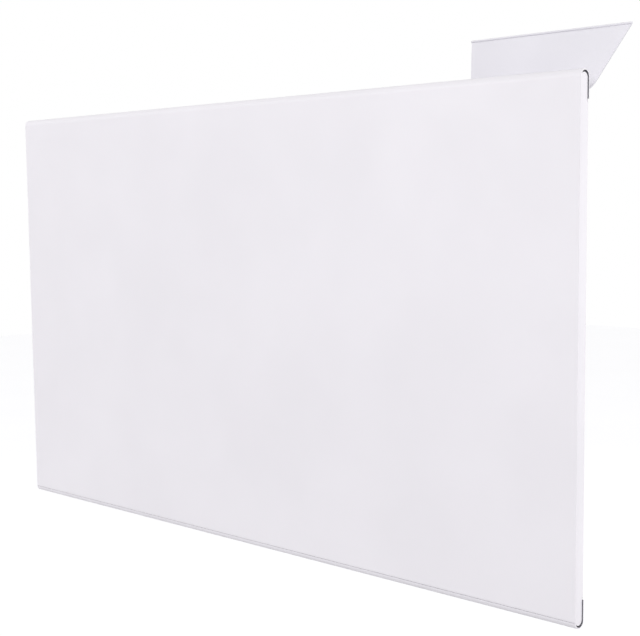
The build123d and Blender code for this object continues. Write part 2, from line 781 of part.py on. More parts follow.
baffle_x = box_far_x - baffle_inset
z_front, z_back = pan_edge_z(baffle_front, casing_sheet), pan_edge_z(casing_depth, casing_sheet)
z_front, z_back = z_front - baffle_gap, z_back - baffle_gap
baffle_outline = [
    (behind(baffle_front), -z_front),
    (back_y, -z_back),
    (back_y, z_back),
    (behind(baffle_front), z_front),
]
baffle = prism_x(baffle_outline, (baffle_x, baffle_x + baffle_sheet))
foot_z = (-z_back + baffle_foot, z_back - baffle_foot)
baffle += block((baffle_x, baffle_x + baffle_foot), (back_y - baffle_sheet, back_y), foot_z)
baffle -= block(
    (baffle_x - overrun, baffle_x + baffle_sheet + overrun),
    (behind(baffle_front) - overrun, behind(baffle_front + baffle_notch)),
    around(baffle_notch_rise - top_z, baffle_notch),
)
baffle_screw_x = baffle_x + baffle_foot * baffle_screw_share
baffle_screws = [foot_screw(baffle_screw_x, z_back * share, baffle_sheet) for share in baffle_screw_shares]
nodes["baffle_plate"] = baffle - baffle_screws
foot_screws += baffle_screws

# Heating element: a finned aluminium bar over a sheathed wire, held at both ends
element_left_gap = 24.5
element_right_gap = 44.0
element_rise = 130.0
element_depth = 30.0
fin_arm = 24.0
fin_sheet = 1.6
fin_angle = 52.0
hub_radius = 7.0
core_radius = 4.2
side_fin = 9.0
side_fin_shares = (0.45, 0.72, 1.0)
core_overhang = 22.0
insulator_radius = 9.0
insulator_collar = 11.5
insulator_length = 10.0
insulator_collar_length = 3.0
element_gap = 4.0
post_sheet = 1.5
post_width = 30.0
post_foot = 14.0

element_x = (element_left_gap - end_wall_x(casing_depth), baffle_x - element_right_gap)
element_z = element_rise - top_z
element_y = behind(casing_depth - element_depth)


def element_rod(x_start, x_end, radius):
    """A round bar on the element's axis."""
    return rod((x_start, element_y, element_z), (x_end, element_y, element_z), radius)


arms = [Circle(hub_radius)]
for turn in (fin_angle, 180.0 - fin_angle, 180.0 + fin_angle, -fin_angle):
    arm = Pos(fin_arm / 2, 0.0) * Rectangle(fin_arm, fin_sheet)
    for share in side_fin_shares:
        arm += Pos(fin_arm * share - fin_sheet / 2, 0.0) * Rectangle(fin_sheet, side_fin)
    arms.append(Rot(0, 0, turn) * arm)
section = joined(arms) - Circle(core_radius)
element_plane = Plane.YZ.offset(element_x[0]) * Pos(element_y, element_z)
element_length = element_x[1] - element_x[0]
nodes["heating_element"] = extrude(element_plane * section, amount=element_length)
core_x = (element_x[0] - core_overhang, element_x[1] + core_overhang)
nodes["element_core"] = element_rod(*core_x, core_radius)
insulators = []
for side, name in ((-1, "element_bracket_left"), (1, "element_bracket_right")):
    end = element_x[0] if side < 0 else element_x[1]
    inner = end + side * element_gap
    post_x = (inner, inner + side * post_sheet)
    collar_end = post_x[1] + side * insulator_collar_length
    tube = joined([
        element_rod(inner, inner + side * insulator_length, insulator_radius),
        element_rod(post_x[1], collar_end, insulator_collar),
    ])
    insulators.append(tube - element_rod(*core_x, core_radius))
    foot_x = (inner, inner + side * post_foot)
    bracket = joined([
        block(post_x, (element_y - post_width / 2, back_y), around(element_z, post_width)),
        block(foot_x, (back_y - post_sheet, back_y), around(element_z, post_width)),
    ])
    bracket -= element_rod(*post_x, insulator_radius)
    screw_x = inner + side * (post_foot + post_sheet) / 2
    for rise in (-1, 1):
        screw = foot_screw(screw_x, element_z + rise * post_width / 3, post_sheet)
        foot_screws.append(screw)
    bracket = bracket - foot_screws
    nodes[name] = bracket
nodes["element_insulators"] = group(insulators)

# Heat shield: a tray between the element and the casing's back
shield_height = 74.0
shield_sheet = 0.6
shield_stand = 5.5
shield_end_gap = 4.0
shield_x = (element_x[0] + shield_end_gap, element_x[1] - shield_end_gap)
shield_z = around(element_z, shield_height)
shield = joined([
    block(shield_x, (back_y - shield_stand - shield_sheet, back_y - shield_stand), shield_z),
    block(shield_x, (back_y - shield_stand, back_y), (shield_z[0], shield_z[0] + shield_sheet)),
    block(shield_x, (back_y - shield_stand, back_y), (shield_z[1] - shield_sheet, shield_z[1])),
])
nodes["heat_shield"] = shield

# Thermal cut-out: a disc on an angle over the element
cutout_shift = -5.0
cutout_rise = 62.0
cutout_radius = 8.0
cutout_height = 9.0
cutout_tab = 6.0
cutout_plate = 26.0
cutout_sheet = 1.0
cutout_stand = 20.0
cutout_screw_inset = 5.0
cutout_x = sum(element_x) / 2 + cutout_shift
cutout_z = element_z + cutout_rise
stand_y = (back_y - cutout_stand, back_y)
holder_x = around(cutout_x, cutout_plate)
holder = joined([
    block(holder_x, (back_y - cutout_sheet, back_y), (cutout_z, cutout_z + cutout_plate / 2)),
    block(holder_x, stand_y, (cutout_z - cutout_sheet, cutout_z)),
])
cutout_y = stand_y[0] + cutout_radius + cutout_sheet
holder_screw_x = (holder_x[0] + cutout_screw_inset, holder_x[1] - cutout_screw_inset)
holder_screw_z = cutout_z + cutout_plate / 4
holder_screws = [foot_screw(x, holder_screw_z, cutout_sheet) for x in holder_screw_x]
nodes["cutout_bracket"] = holder - holder_screws
foot_screws += holder_screws
disc_low_z = cutout_z - cutout_sheet - cutout_height
disc = rod((cutout_x, cutout_y, disc_low_z), (cutout_x, cutout_y, cutout_z - cutout_sheet), cutout_radius)
for side in (-1, 1):
    tab_x = (cutout_x + side * (cutout_radius - cutout_sheet), cutout_x + side * (cutout_radius + cutout_tab))
    disc += block(tab_x, around(cutout_y, cutout_tab), around((disc_low_z + cutout_z) / 2, cutout_sheet))
nodes["thermal_cutout"] = disc

# Power board: stands off the casing's back in the control end
power_end_gap = 55.0
power_length = 74.0
power_drop = 111.8
power_height = 105.0
power_thickness = 1.6
power_stand = 8.0
power_inset = 5.0
power_x = (end_x - power_end_gap - power_length, end_x - power_end_gap)
power_z = (below(power_drop + power_height), below(power_drop))
power_y = (back_y - power_stand - power_thickness, back_y - power_stand)
power_board = block(power_x, power_y, power_z)
standoffs = []
for x in (power_x[0] + power_inset, power_x[1] - power_inset):
    for z in (power_z[0] + power_inset, power_z[1] - power_inset):
        screw = joined([
            rod((x, power_y[0] - screw_head_height, z), (x, power_y[0], z), post_radius),
            rod((x, power_y[0], z), (x, (power_y[1] + back_y) / 2, z), post_bore),
        ])
        standoffs.append(rod((x, power_y[1], z), (x, back_y, z), post_radius) - screw)
        board_screws.append(screw)
nodes["power_board"] = power_board - board_screws
nodes["power_standoffs"] = group(standoffs)
nodes["board_screws"] = group(board_screws)
relay_size = (15.0, 15.0, 19.0)
transformer_size = (28.0, 22.0, 32.0)
terminal_block_size = (10.0, 12.0, 40.0)
capacitor_radius = 5.0
capacitor_height = 14.0
board_part_gap = 12.0


def board_part(size, x_low, z_low):
    """A component that stands on the power board towards the panel."""
    width, depth, height = size
    return block((x_low, x_low + width), (power_y[0] - depth, power_y[0]), (z_low, z_low + height))


part_low_z = power_z[0] + board_part_gap
transformer_x = power_x[0] + board_part_gap
transformer_core = board_part(transformer_size, transformer_x, part_low_z)
winding_shares = (1.25, 0.7, 0.7)
winding_size = [size * share for size, share in zip(transformer_size, winding_shares)]
winding_x = transformer_x - (winding_size[0] - transformer_size[0]) / 2
winding_z = part_low_z + (transformer_size[2] - winding_size[2]) / 2
winding = board_part(winding_size, winding_x, winding_z)
nodes["transformer"] = transformer_core + winding
relay_z = part_low_z + transformer_size[2] + board_part_gap
nodes["relay"] = board_part(relay_size, transformer_x, relay_z)
block_x = power_x[1] - terminal_block_size[0] - power_inset / 2
terminal_block = board_part(terminal_block_size, block_x, part_low_z + board_part_gap)
port_shares = (0.125, 0.375, 0.625, 0.875)
port_radius = 2.0
for share in port_shares:
    port_z = part_low_z + board_part_gap + terminal_block_size[2] * share
    port_y = power_y[0] - terminal_block_size[1] / 2
    port_x = (block_x + terminal_block_size[0] / 2, block_x + terminal_block_size[0])
    terminal_block -= rod((port_x[0], port_y, port_z), (port_x[1], port_y, port_z), port_radius)
nodes["terminal_block"] = terminal_block
capacitor_x = transformer_x + relay_size[0] + board_part_gap
capacitor_z = relay_z + capacitor_radius
capacitor_ends = [(capacitor_x, y, capacitor_z) for y in (power_y[0] - capacitor_height, power_y[0])]
nodes["capacitor"] = rod(*capacitor_ends, capacitor_radius)

# Room sensor: a bead in a clip over the inlet slots at the control end
sensor_end_gap = 89.0
sensor_rise = 35.3
sensor_radius = 2.5
sensor_length = 16.0
clip_sheet = 1.0
clip_stand = 12.0
clip_height = 10.0
sensor_x = end_x - sensor_end_gap
sensor_z = sensor_rise - pan_edge_z(casing_depth)
clip_y = (back_y - clip_stand, back_y)
clip = joined([
    block(around(sensor_x, clip_height), (back_y - clip_sheet, back_y), (sensor_z, sensor_z + clip_height)),
    block(around(sensor_x, clip_height), clip_y, (sensor_z - clip_sheet, sensor_z)),
])
sensor_y = clip_y[0] + sensor_radius + clip_sheet
sensor_low_z = sensor_z - clip_sheet - sensor_length / 2
sensor_ends = ((sensor_x, sensor_y, sensor_low_z), (sensor_x, sensor_y, sensor_low_z + sensor_length))
clip = clip - rod(*sensor_ends, sensor_radius)
clip_screw = foot_screw(sensor_x, sensor_z + clip_height / 2, clip_sheet)
nodes["sensor_clip"] = clip - clip_screw
foot_screws.append(clip_screw)
nodes["room_sensor"] = rod(*sensor_ends, sensor_radius)

# Cable gland: where the mains lead would come in, through the sloping bottom near the control end
gland_end_gap = 83.5
gland_depth = 30.0
gland_bore = 3.6
gland_radius = 6.0
gland_gap = 0.05
gland_collar = 8.5
gland_collar_height = 2.5
gland_nut = 9.0
gland_nut_height = 4.0
gland_nose = 6.0
gland_x = end_x - gland_end_gap
gland_origin = Vector(gland_x, behind(gland_depth), -pan_edge_z(gland_depth))
gland_out = Vector(0, grille_slope, -1) / grille_stretch
inner_face = gland_origin - gland_out * casing_sheet
nut_end = inner_face - gland_out * gland_nut_height
nose_end = gland_origin + gland_out * (gland_collar_height + gland_nose)
gland = joined([
    rod(nut_end, gland_origin, gland_radius),
    rod(gland_origin, gland_origin + gland_out * gland_collar_height, gland_collar),
    rod(gland_origin, nose_end, gland_radius),
])
nodes["cable_gland"] = gland - rod(nut_end - gland_out * overrun, nose_end + gland_out * overrun, gland_bore)
nut_plane = Plane(origin=nut_end, z_dir=gland_out)
nut = extrude(nut_plane * RegularPolygon(gland_nut, 6), amount=gland_nut_height)
nodes["gland_nut"] = nut - rod(nut_end, inner_face, gland_radius)
gland_land = 26.0
land = block(around(gland_x, gland_land), (behind(front_row[0]), casing_inner_y), (-pan_top_z, -z_back))
casing += land & (casing_outer - casing_inner)
casing -= rod(inner_face - gland_out * overrun, gland_origin + gland_out * overrun, gland_radius + gland_gap)

# Wall bracket: two uprights with hooks, two crossbars, rivets and rubber buffers
bracket_plate = 1.5
upright_x = 150.0
upright_width = 24.0
upright_height = 250.0
hook_inset = 7.0
hook_width = 12.0
hook_tip = 8.0
hook_gap = 1.0
hook_slot_gap = 1.5
crossbar_z = 55.0
crossbar_height = 22.0
wall_hole_radius = 3.0
wall_slot_length = 14.0
wall_hole_inset = 40.0
buffer_radius = 7.0
buffer_z = 30.0

hook_z = upright_height / 2 - hook_inset
wall_hole_z = upright_height / 2 - wall_hole_inset
bracket_front_y = -bracket_plate
tip_y = (casing_inner_y - hook_gap - bracket_plate, casing_inner_y - hook_gap)
hook_slots = []
for side, name in ((-1, "bracket_upright_left"), (1, "bracket_upright_right")):
    x = side * upright_x
    upright = block(around(x, upright_width), (bracket_front_y, 0.0), around(0.0, upright_height))
    for rise in (-1, 1):
        z = rise * hook_z
        upright += block(around(x, hook_width), (tip_y[0], 0.0), (z - bracket_plate, z))
        upright += block(around(x, hook_width), tip_y, (z - bracket_plate, z + hook_tip))
        slot_z = (z - bracket_plate - hook_tip - hook_slot_gap, z)
        slot_x = around(x, hook_width + hook_slot_gap * 2)
        hook_slots.append(block(slot_x, (tip_y[1], casing_back_y + overrun), slot_z))
        hole = Plane.XZ * Pos(x, rise * wall_hole_z) * SlotOverall(wall_slot_length, wall_hole_radius * 2)
        upright -= extrude(hole, amount=bracket_plate * 2, both=True)
    nodes[name] = upright
casing = casing - hook_slots
bracket_rivets = []
crossbar_y = (bracket_front_y - bracket_plate, bracket_front_y)
rivet_spread = 12.0
for rise, name in ((1, "bracket_crossbar_top"), (-1, "bracket_crossbar_bottom")):
    z = rise * crossbar_z
    crossbar = block(around(0.0, upright_x * 2 + upright_width), crossbar_y, around(z, crossbar_height))
    for side in (-1, 1):
        for step in (-1, 1):
            x = side * upright_x + step * rivet_spread / 2
            bar = rod((x, crossbar_y[0] - rivet_head, z), (x, 0.0, z), rivet_radius)
            bar += rod((x, crossbar_y[0] - rivet_head, z), (x, crossbar_y[0], z), rivet_head_radius)
            bracket_rivets.append(bar)
    nodes[name] = crossbar - bracket_rivets
nodes["bracket_upright_left"] -= bracket_rivets
nodes["bracket_upright_right"] -= bracket_rivets
nodes["bracket_rivets"] = group(bracket_rivets)
buffers = []
for side in (-1, 1):
    for rise in (-1, 1):
        x, z = side * upright_x, rise * buffer_z
        buffers.append(rod((x, casing_back_y, z), (x, bracket_front_y, z), buffer_radius))
nodes["rubber_buffers"] = group(buffers)

nodes["foot_screws"] = group(foot_screws)

# Sheets of the casing, welded where they meet: back, sloping grilles, slanted end plates and the raised box
back_fold = 2.0
casing = casing - foot_screws
back_y_limits = (behind(casing_depth - back_fold), casing_back_y + overrun)
back_space = block((-end_x, end_x), back_y_limits, (-top_z, top_z))
lower_space = block((-end_x, end_x), (panel_rear_y, casing_back_y), (-top_z, 0.0))
upper_space = block((-end_x, box_far_x + casing_sheet), (panel_rear_y, casing_back_y), (0.0, top_z))
left_space = block((-end_x, 0.0), (panel_rear_y, casing_back_y), (-top_z, top_z))
nodes["control_box"] = casing - between_slopes(0.0)
pan = casing & between_slopes(0.0)
nodes["rear_casing"] = pan & back_space
pan = pan - back_space
sloping = pan - between_slopes(casing_sheet)
nodes["grille_bottom"] = sloping & lower_space
nodes["grille_top"] = sloping & upper_space
plates = pan - nodes["grille_bottom"] - nodes["grille_top"]
nodes["casing_end_left"] = plates & left_space
nodes["casing_end_right"] = plates - left_space

for name, shape in nodes.items():
    export_step(shape, f"parts/{name}.step")
print(len(nodes), "nodes")
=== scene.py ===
import json
import math

import bpy
from mathutils import Matrix, Vector


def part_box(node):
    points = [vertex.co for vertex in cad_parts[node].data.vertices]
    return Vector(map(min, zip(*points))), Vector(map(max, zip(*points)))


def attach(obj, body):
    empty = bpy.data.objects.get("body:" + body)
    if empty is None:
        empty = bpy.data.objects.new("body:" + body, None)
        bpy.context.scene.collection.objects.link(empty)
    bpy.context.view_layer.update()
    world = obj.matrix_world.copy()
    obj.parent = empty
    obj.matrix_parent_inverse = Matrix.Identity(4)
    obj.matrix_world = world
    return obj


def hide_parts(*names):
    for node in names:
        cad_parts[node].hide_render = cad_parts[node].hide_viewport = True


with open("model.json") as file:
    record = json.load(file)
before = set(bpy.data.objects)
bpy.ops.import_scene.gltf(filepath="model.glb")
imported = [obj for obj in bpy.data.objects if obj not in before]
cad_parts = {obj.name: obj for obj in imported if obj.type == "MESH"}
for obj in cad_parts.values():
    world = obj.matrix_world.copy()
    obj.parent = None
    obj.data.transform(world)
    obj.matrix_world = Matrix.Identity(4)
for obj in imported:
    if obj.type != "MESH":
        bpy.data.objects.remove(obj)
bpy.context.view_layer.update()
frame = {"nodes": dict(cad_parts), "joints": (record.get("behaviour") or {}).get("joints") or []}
bpy.ops.object.select_all(action="DESELECT")

# Front panel
# A sheet of steel rolled right round at its top and bottom edges, with a folded channel let into each end.
# Outside it is powder-coated in a cool satin white with a faint orange peel, and inside it is painted grey as
# shade, which also darkens the gaps at its ends.
panel_white = (242, 239, 244)
# Grey painted on the panel's inner faces as shade, which darkens the gaps at its ends.
panel_inside_shade = (132, 131, 138)
panel_middle = (0.0, -0.0675, 0.0)
least_facing = 0.0001
coat_shade = 3
coat_gloss = (0.40, 0.47)
cloud_size = 0.11
patch_size = 0.04
peel_size = 0.0016
peel_depth = 0.000006
full_value = 255
curve_offset = 0.055
curve_power = 2.4
grain_detail = 2.0
mottle_ends = (0.35, 0.65)
gloss_ends = (0.3, 0.7)


def linear(colour):
    """A colour as a screen shows it, in the linear values that a shader takes."""
    shares = [part / full_value for part in colour]
    return [((share + curve_offset) / (1 + curve_offset)) ** curve_power for share in shares] + [1.0]


def darker(colour, steps):
    """The same colour, this many steps of 255 darker."""
    return [max(0, part - steps) for part in colour]


def blank_finish(name):
    """A new material, with its shader and the place on the object that patterns are laid by."""
    material = bpy.data.materials.new(name)
    material.use_nodes = True
    nodes = material.node_tree.nodes
    return material, nodes["Principled BSDF"], nodes.new("ShaderNodeTexCoord").outputs["Object"]


def grain(place, size, stretch=(1, 1, 1), detail=grain_detail):
    """A soft pattern with specks of about this size, drawn out along the axes that are stretched."""
    tree = place.id_data
    mapping = tree.nodes.new("ShaderNodeMapping")
    mapping.inputs["Scale"].default_value = [1 / (size * part) for part in stretch]
    noise = tree.nodes.new("ShaderNodeTexNoise")
    noise.inputs["Scale"].default_value = 1.0
    noise.inputs["Detail"].default_value = detail
    tree.links.new(place, mapping.inputs["Vector"])
    tree.links.new(mapping.outputs["Vector"], noise.inputs["Vector"])
    return noise.outputs["Fac"]


def mottle(pattern, socket, low, high):
    """The pattern moves a colour between two."""
    tree = pattern.id_data
    ramp = tree.nodes.new("ShaderNodeValToRGB")
    ends = ramp.color_ramp.elements
    ends[0].position, ends[1].position = mottle_ends
    ends[0].color, ends[1].color = low, high
    tree.links.new(pattern, ramp.inputs["Fac"])
    tree.links.new(ramp.outputs["Color"], socket)


def gloss(pattern, shader, limits):
    """The pattern moves the roughness between two limits."""
    tree = pattern.id_data
    spread = tree.nodes.new("ShaderNodeMapRange")
    spread.inputs["From Min"].default_value, spread.inputs["From Max"].default_value = gloss_ends
    spread.inputs["To Min"].default_value, spread.inputs["To Max"].default_value = limits
    tree.links.new(pattern, spread.inputs["Value"])
    tree.links.new(spread.outputs["Result"], shader.inputs["Roughness"])


def relief(pattern, shader, depth):
    """The pattern stands out of the surface by this depth."""
    tree = pattern.id_data
    bump = tree.nodes.new("ShaderNodeBump")
    bump.inputs["Distance"].default_value = depth
    tree.links.new(pattern, bump.inputs["Height"])
    tree.links.new(bump.outputs["Normal"], shader.inputs["Normal"])


def powder_coat(name, colour):
    """Satin powder coat on steel."""
    material, shader, place = blank_finish(name)
    shade = linear(darker(colour, coat_shade))
    mottle(grain(place, cloud_size), shader.inputs["Base Color"], shade, linear(colour))
    gloss(grain(place, patch_size), shader, coat_gloss)
    relief(grain(place, peel_size), shader, peel_depth)
    return material


def coated_outside(name, colour, inner_shade, middle, axes=(1.0, 1.0, 1.0)):
    """Powder coat on faces that look away from a middle along the axes that count, and a darker colour
    painted on the rest as shade.
    """
    material = powder_coat(name, colour)
    tree = material.node_tree
    base = tree.nodes["Principled BSDF"].inputs["Base Color"]
    coat = base.links[0].from_socket
    place = next(node for node in tree.nodes if node.type == "TEX_COORD")
    outward = tree.nodes.new("ShaderNodeVectorMath")
    outward.operation = "SUBTRACT"
    outward.inputs[1].default_value = middle
    counted = tree.nodes.new("ShaderNodeVectorMath")
    counted.operation = "MULTIPLY"
    counted.inputs[1].default_value = axes
    facing = tree.nodes.new("ShaderNodeVectorMath")
    facing.operation = "DOT_PRODUCT"
    outside = tree.nodes.new("ShaderNodeMath")
    outside.operation = "GREATER_THAN"
    outside.inputs[1].default_value = least_facing
    either = tree.nodes.new("ShaderNodeMix")
    either.data_type = "RGBA"
    either.inputs["A"].default_value = linear(inner_shade)
    tree.links.new(place.outputs["Object"], outward.inputs[0])
    tree.links.new(outward.outputs["Vector"], counted.inputs[0])
    tree.links.new(counted.outputs["Vector"], facing.inputs[0])
    tree.links.new(place.outputs["Normal"], facing.inputs[1])
    tree.links.new(facing.outputs["Value"], outside.inputs[0])
    tree.links.new(outside.outputs["Value"], either.inputs["Factor"])
    tree.links.new(coat, either.inputs["B"])
    tree.links.new(either.outputs["Result"], base)
    return material


def dress(material, *names):
    """Gives CAD nodes their finish."""
    for name in names:
        for slot in frame["nodes"][name].material_slots:
            slot.material = material


dress(coated_outside("panel_coat_inside_shade", panel_white, panel_inside_shade, panel_middle), "front_panel")

# Rear casing
# Steel sheets folded and welded along their edges: a flat back with slots for the bracket's hooks, a slotted
# slope along the top and the bottom, two slanted end plates, and the raised box that carries the controls.
# They are coated white outside. The faces that look into the heater and the walls of the slots are painted
# near black as shade.
casing_white = (238, 235, 241)
# Near black painted as shade on the casing's inner faces and on the walls of the slots.
casing_inside_shade = (40, 40, 44)
casing_middle = (0.0, -0.039, 0.0)
# The grille leaves out the x axis, so the slot walls, which face along it, get the painted shade too.
across_slots = (0.0, 1.0, 1.0)

casing_coat_inside_shade = coated_outside("casing_coat_inside_shade", casing_white, casing_inside_shade, casing_middle)
dress(casing_coat_inside_shade, "rear_casing", "casing_end_left", "casing_end_right")
grille_coat_inside_shade = coated_outside("grille_coat_inside_shade", casing_white, casing_inside_shade, casing_middle, across_slots)
dress(grille_coat_inside_shade, "grille_top", "grille_bottom")
dress(powder_coat("fitting_coat", casing_white), "control_box", "casing_screws", "hinge_tray")

# Screws and rivets
# Small plated steel fasteners: the screws and rivets that hold the inner sheets, boards and bracket.
plated_steel = (176, 177, 180)
plating_shade = 26
plating_gloss = (0.28, 0.42)
plating_grain = 0.0012
plating_depth = 0.000004
plating_patch_share = 8


def plated(name, colour, stretch=(1, 1, 1)):
    """Zinc-plated or rolled metal, its grain drawn out where the metal was rolled or brushed."""
    material, shader, place = blank_finish(name)
    shader.inputs["Metallic"].default_value = 1.0
    fine = grain(place, plating_grain, stretch)
    mottle(fine, shader.inputs["Base Color"], linear(darker(colour, plating_shade)), linear(colour))
    gloss(grain(place, plating_grain * plating_patch_share), shader, plating_gloss)
    relief(fine, shader, plating_depth)
    return material


dress(plated("plated_screws", plated_steel), "tray_rivets", "bracket_rivets", "board_screws", "foot_screws")

# Control fascia
# A thin plate on top of the raised box, sprayed a pale silver grey with fine metal flake, and pierced for the
# buttons, the display window and the row of lights.
fascia_silver = (226, 225, 232)
flake_shade = 9
flake_size = 0.0006
fascia_metal = 0.12
fascia_gloss = (0.42, 0.50)
flake_detail = 4.0
flake_patch_share = 3
flake_depth = 0.000003


def flake_paint(name, colour):
    """Silver paint with fine flake in it."""
    material, shader, place = blank_finish(name)
    shader.inputs["Metallic"].default_value = fascia_metal
    flakes = grain(place, flake_size, detail=flake_detail)
    mottle(flakes, shader.inputs["Base Color"], linear(darker(colour, flake_shade)), linear(colour))
    gloss(grain(place, flake_size * flake_patch_share), shader, fascia_gloss)
    relief(flakes, shader, flake_depth)
    return material


dress(flake_paint("silver_fascia", fascia_silver), "control_fascia")

# Buttons
# Six moulded caps in two columns of three. Each is white, with a dark ring printed round its top and a mark
# inside it: timer, minus, plus, and lock, heat step and power. The ring sits at the rim and is partly painted
# shade that widens the gap round the cap.
cap_white = (240, 239, 243)
moulding_shade = 3
moulding_gloss = (0.30, 0.38)
moulding_cloud = 0.02
moulding_patch = 0.004
moulding_grain = 0.0007
moulding_depth = 0.000004
ink_dark = (22, 20, 28)
ink_shade = 14
ink_shine = 0.15
ink_rise = 0.00001
ink_thickness = 0.00003
# The ring at the cap's rim is partly print and partly painted shade, widening the dark gap round the cap.
cap_ring = 0.0054
cap_ring_width = 0.00062
mark_line = 0.0011
mark_reach = 0.0032
bold_share = 1.2
dial_share = 1.22
hand_line_share = 0.7
long_hand_share = 0.76
short_hand_share = 0.56
lock_body_shares = (1.5, 1.1)
lock_drop_share = 0.35
shackle_share = 0.55
shackle_rise_share = 0.2
shackle_line_share = 0.8
step_count = 3
step_pitch_share = 0.7
step_low_share = 0.7
step_growth_share = 0.45
step_foot_share = 0.8
step_line_share = 1.3
power_open_end = math.radians(125)
power_sweep = math.radians(290)
power_bar_share = 0.95
power_bar_rise_share = 0.55
ring_sides = 64


def moulded(name, colour, shade=moulding_shade):
    """Moulded plastic with a fine spark-eroded grain."""
    material, shader, place = blank_finish(name)
    clouds = grain(place, moulding_cloud)
    mottle(clouds, shader.inputs["Base Color"], linear(darker(colour, shade)), linear(colour))
    gloss(grain(place, moulding_patch), shader, moulding_gloss)
    relief(grain(place, moulding_grain), shader, moulding_depth)
    return material


def place_in_mesh(piece):
    """The piece's object goes to the origin and its place into its mesh."""
    bpy.ops.object.select_all(action="DESELECT")
    piece.select_set(True)
    bpy.context.view_layer.objects.active = piece
    bpy.ops.object.transform_apply(location=True, rotation=True, scale=True)
    return piece


def bar(middle, length, width, turn=0.0):
    """A flat printed bar about a point, in the plane of the print."""
    bpy.ops.mesh.primitive_plane_add(size=1.0, location=(*middle, 0.0), rotation=(0.0, 0.0, turn))
    piece = bpy.context.object
    piece.scale = (length, width, 1.0)
    return place_in_mesh(piece)


def ring(middle, radius, width, start=0.0, sweep=math.tau):
    """A flat printed ring about a point, or the part of it that a sweep from a starting angle covers."""
    bpy.ops.mesh.primitive_circle_add(vertices=ring_sides, radius=radius, fill_type="NGON")
    piece = bpy.context.object
    bpy.ops.object.mode_set(mode="EDIT")
    bpy.ops.mesh.select_all(action="SELECT")
    bpy.ops.mesh.inset(thickness=width)
    bpy.ops.mesh.delete(type="FACE")
    bpy.ops.object.mode_set(mode="OBJECT")
    for face in piece.data.polygons:
        angle = math.atan2(face.center.y, face.center.x)
        face.select = (angle - start) % math.tau > sweep
    bpy.ops.object.mode_set(mode="EDIT")
    bpy.ops.mesh.select_mode(type="FACE")
    bpy.ops.mesh.delete(type="FACE")
    bpy.ops.object.mode_set(mode="OBJECT")
    piece.location = (*middle, 0.0)
    return place_in_mesh(piece)


def joined(name, pieces):
    """One object of several, under a name."""
    bpy.ops.object.select_all(action="DESELECT")
    for piece in pieces:
        piece.select_set(True)
    bpy.context.view_layer.objects.active = pieces[0]
    if len(pieces) > 1:
        bpy.ops.object.join()
    piece = bpy.context.object
    piece.name = name
    return piece


def applied(piece, kind, **settings):
    """Adds a modifier to the piece and applies it."""
    bpy.ops.object.select_all(action="DESELECT")
    piece.select_set(True)
    bpy.context.view_layer.objects.active = piece
    modifier = piece.modifiers.new(kind, kind)
    for setting, value in settings.items():
        setattr(modifier, setting, value)
    bpy.ops.object.modifier_apply(modifier=kind)


def printed(name, shapes, origin, ink, body):
    """A printed mark of flat shapes, laid on a level surface at this origin and moving with a body."""
    piece = joined(name, shapes)
    applied(piece, "SOLIDIFY", thickness=ink_thickness, offset=1.0)
    piece.location = (origin[0], origin[1], origin[2] + ink_rise)
    place_in_mesh(piece)
    piece.data.materials.append(ink)
    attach(piece, body)
    return piece


def timer_mark():
    from_middle = mark_reach * short_hand_share / 2
    hand_line = mark_line * hand_line_share
    return [
        ring((0.0, 0.0), mark_reach * dial_share, mark_line),
        bar((0.0, from_middle), hand_line, mark_reach * long_hand_share),
        bar((from_middle, 0.0), mark_reach * short_hand_share, hand_line),
    ]


def minus_mark():
    return [bar((0.0, 0.0), mark_reach * 2, mark_line * bold_share)]


def plus_mark():
    return minus_mark() + [bar((0.0, 0.0), mark_line * bold_share, mark_reach * 2)]


def lock_mark():
    length, width = (mark_reach * share for share in lock_body_shares)
    shackle_middle = (0.0, mark_reach * shackle_rise_share)
    return [
        bar((0.0, -mark_reach * lock_drop_share), length, width),
        ring(shackle_middle, mark_reach * shackle_share, mark_line * shackle_line_share, 0.0, math.pi),
    ]


def heat_step_mark():
    steps = []
    for index in range(step_count):
        height = mark_reach * (step_low_share + step_growth_share * index)
        middle = ((index - 1) * mark_reach * step_pitch_share, height / 2 - mark_reach * step_foot_share)
        steps.append(bar(middle, mark_line * step_line_share, height))
    return steps


def power_mark():
    return [
        ring((0.0, 0.0), mark_reach, mark_line, power_open_end, power_sweep),
        bar((0.0, mark_reach * power_bar_rise_share), mark_line, mark_reach * power_bar_share),
    ]


def matt_ink(name, colour):
    """Printed ink, flat and without a shine."""
    material = moulded(name, colour, ink_shade)
    material.node_tree.nodes["Principled BSDF"].inputs["Specular IOR Level"].default_value = ink_shine
    return material


cap_plastic = moulded("button_plastic", cap_white)
ink = matt_ink("printed_ink", ink_dark)
cap_marks = {
    "timer": timer_mark,
    "minus": minus_mark,
    "plus": plus_mark,
    "lock": lock_mark,
    "mode": heat_step_mark,
    "power": power_mark,
}
for key, mark in cap_marks.items():
    dress(cap_plastic, f"button_{key}")
    low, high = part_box(f"button_{key}")
    cap_top = ((low[0] + high[0]) / 2, (low[1] + high[1]) / 2, high[2])
    shapes = mark() + [ring((0.0, 0.0), cap_ring, cap_ring_width)]
    printed(f"mark_{key}", shapes, cap_top, ink, f"key_{key}")

# Display
# A smoked window let into the fascia. Under it a black module shows two seven-segment digits in violet blue.
lens_smoke = (70, 70, 84)
lens_gloss = (0.05, 0.09)
lens_index = 1.49
lens_cloud = 0.01
lens_patch = 0.003
lens_shade = 4
module_black = (18, 18, 22)
digit_blue = (120, 112, 250)
digit_strength = 0.9
glow_grain = 0.0015
glow_patch = 0.002
glow_shades = (60, 30, 24)
digit_height = 0.0122
digit_width = 0.0054
digit_pitch = 0.0114
digit_offset = 0.0013
segment_width = 0.0011
segment_gap = 0.0003
segment_rise = 0.00012
segment_point_share = 0.48
half_steps = (-0.5, 0.5)


